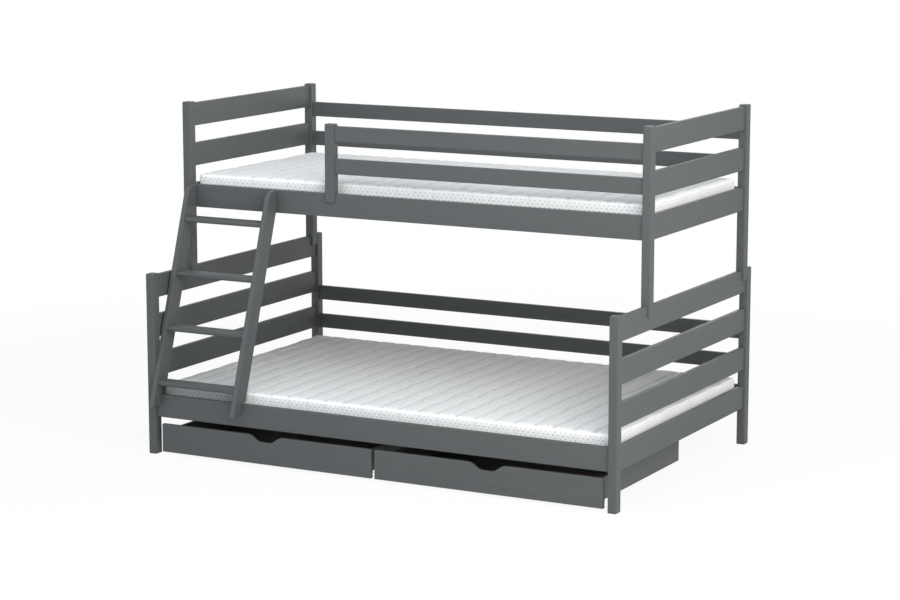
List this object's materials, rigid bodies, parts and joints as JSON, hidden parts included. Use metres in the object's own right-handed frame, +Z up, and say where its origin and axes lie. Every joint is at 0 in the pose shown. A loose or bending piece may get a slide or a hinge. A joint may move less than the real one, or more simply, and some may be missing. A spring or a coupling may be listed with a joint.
{
  "type": "bunk bed with drawers",
  "caption": "Bunk bed: a narrower upper bed on the end frames of a wider lower bed, with a leaning ladder, a part-length guard and two drawers that roll on castors below.",
  "frame": {"origin": "on the floor, in the middle of the room that the bed and its ladder take", "axes": "+X to the right end along the bed, -Y to the front where the ladder leans and the drawers pull, +Z up"},
  "size_m": [2.08, 1.37, 1.408],
  "materials": {
    "frame_paint": "dark grey satin paint on pine",
    "drawer_paint": "dark grey satin paint on board",
    "drawer_panel": "thin painted panel with moulded castor housings",
    "slat_pine": "bare planed pine",
    "mattress_fabric": "off-white quilted ticking with a dotted border",
    "castor_nylon": "black moulded nylon"
  },
  "bodies": {
    "root": {"lower_post_front_left": "frame_paint", "lower_post_back_left": "frame_paint", "lower_left_end_rail_bottom": "frame_paint", "lower_left_end_rail_lower": "frame_paint", "lower_left_end_rail_upper": "frame_paint", "lower_left_end_rail_top": "frame_paint", "lower_post_front_right": "frame_paint", "lower_post_back_right": "frame_paint", "lower_right_end_rail_bottom": "frame_paint", "lower_right_end_rail_lower": "frame_paint", "lower_right_end_rail_upper": "frame_paint", "lower_right_end_rail_top": "frame_paint", "lower_front_bed_rail": "frame_paint", "lower_back_bed_rail": "frame_paint", "lower_back_rail_1": "frame_paint", "lower_back_rail_2": "frame_paint", "lower_slatted_base": "slat_pine", "lower_mattress": "mattress_fabric", "upper_post_front_left": "frame_paint", "upper_post_back_left": "frame_paint", "upper_left_end_rail_bottom": "frame_paint", "upper_left_end_rail_middle": "frame_paint", "upper_left_end_rail_top": "frame_paint", "upper_post_front_right": "frame_paint", "upper_post_back_right": "frame_paint", "upper_right_end_rail_bottom": "frame_paint", "upper_right_end_rail_middle": "frame_paint", "upper_right_end_rail_top": "frame_paint", "upper_front_bed_rail": "frame_paint", "upper_back_bed_rail": "frame_paint", "upper_back_rail_1": "frame_paint", "upper_back_rail_2": "frame_paint", "upper_slatted_base": "slat_pine", "upper_mattress": "mattress_fabric", "guard_rail": "frame_paint", "ladder_stringer_left": "frame_paint", "ladder_stringer_right": "frame_paint", "ladder_tread_1": "frame_paint", "ladder_tread_2": "frame_paint", "ladder_tread_3": "frame_paint", "ladder_tread_4": "frame_paint"},
    "drawer_left": {"drawer_left_front": "frame_paint", "drawer_left_side_left": "drawer_paint", "drawer_left_side_right": "drawer_paint", "drawer_left_back": "drawer_paint", "drawer_left_bottom": "drawer_panel"},
    "drawer_left_wheel_front_left_body": {"drawer_left_wheel_front_left": "castor_nylon"},
    "drawer_left_wheel_front_right_body": {"drawer_left_wheel_front_right": "castor_nylon"},
    "drawer_left_wheel_rear_left_body": {"drawer_left_wheel_rear_left": "castor_nylon"},
    "drawer_left_wheel_rear_right_body": {"drawer_left_wheel_rear_right": "castor_nylon"},
    "drawer_right": {"drawer_right_front": "frame_paint", "drawer_right_side_left": "drawer_paint", "drawer_right_side_right": "drawer_paint", "drawer_right_back": "drawer_paint", "drawer_right_bottom": "drawer_panel"},
    "drawer_right_wheel_front_left_body": {"drawer_right_wheel_front_left": "castor_nylon"},
    "drawer_right_wheel_front_right_body": {"drawer_right_wheel_front_right": "castor_nylon"},
    "drawer_right_wheel_rear_left_body": {"drawer_right_wheel_rear_left": "castor_nylon"},
    "drawer_right_wheel_rear_right_body": {"drawer_right_wheel_rear_right": "castor_nylon"}
  },
  "joints": [
    {"name": "drawer_left_pull", "type": "slide", "parent": "root", "child": "drawer_left", "axis": [0, -1, 0], "range_m": [0, 0.6]},
    {"name": "drawer_left_wheel_front_left_spin", "type": "hinge", "parent": "drawer_left", "child": "drawer_left_wheel_front_left_body", "pos_m": [-0.865, -0.516, 0.017], "axis": [1, 0, 0], "continuous": true},
    {"name": "drawer_left_wheel_front_right_spin", "type": "hinge", "parent": "drawer_left", "child": "drawer_left_wheel_front_right_body", "pos_m": [-0.124, -0.516, 0.017], "axis": [1, 0, 0], "continuous": true},
    {"name": "drawer_left_wheel_rear_left_spin", "type": "hinge", "parent": "drawer_left", "child": "drawer_left_wheel_rear_left_body", "pos_m": [-0.865, 0.086, 0.017], "axis": [1, 0, 0], "continuous": true},
    {"name": "drawer_left_wheel_rear_right_spin", "type": "hinge", "parent": "drawer_left", "child": "drawer_left_wheel_rear_right_body", "pos_m": [-0.124, 0.086, 0.017], "axis": [1, 0, 0], "continuous": true},
    {"name": "drawer_right_pull", "type": "slide", "parent": "root", "child": "drawer_right", "axis": [0, -1, 0], "range_m": [0, 0.6]},
    {"name": "drawer_right_wheel_front_left_spin", "type": "hinge", "parent": "drawer_right", "child": "drawer_right_wheel_front_left_body", "pos_m": [0.124, -0.516, 0.017], "axis": [1, 0, 0], "continuous": true},
    {"name": "drawer_right_wheel_front_right_spin", "type": "hinge", "parent": "drawer_right", "child": "drawer_right_wheel_front_right_body", "pos_m": [0.865, -0.516, 0.017], "axis": [1, 0, 0], "continuous": true},
    {"name": "drawer_right_wheel_rear_left_spin", "type": "hinge", "parent": "drawer_right", "child": "drawer_right_wheel_rear_left_body", "pos_m": [0.124, 0.086, 0.017], "axis": [1, 0, 0], "continuous": true},
    {"name": "drawer_right_wheel_rear_right_spin", "type": "hinge", "parent": "drawer_right", "child": "drawer_right_wheel_rear_right_body", "pos_m": [0.865, 0.086, 0.017], "axis": [1, 0, 0], "continuous": true}
  ],
  "couplings": [
    {"joint": "drawer_left_wheel_front_left_spin", "follows": "drawer_left_pull", "rad_per_m": 58.824},
    {"joint": "drawer_left_wheel_front_right_spin", "follows": "drawer_left_pull", "rad_per_m": 58.824},
    {"joint": "drawer_left_wheel_rear_left_spin", "follows": "drawer_left_pull", "rad_per_m": 58.824},
    {"joint": "drawer_left_wheel_rear_right_spin", "follows": "drawer_left_pull", "rad_per_m": 58.824},
    {"joint": "drawer_right_wheel_front_left_spin", "follows": "drawer_right_pull", "rad_per_m": 58.824},
    {"joint": "drawer_right_wheel_front_right_spin", "follows": "drawer_right_pull", "rad_per_m": 58.824},
    {"joint": "drawer_right_wheel_rear_left_spin", "follows": "drawer_right_pull", "rad_per_m": 58.824},
    {"joint": "drawer_right_wheel_rear_right_spin", "follows": "drawer_right_pull", "rad_per_m": 58.824}
  ]
}
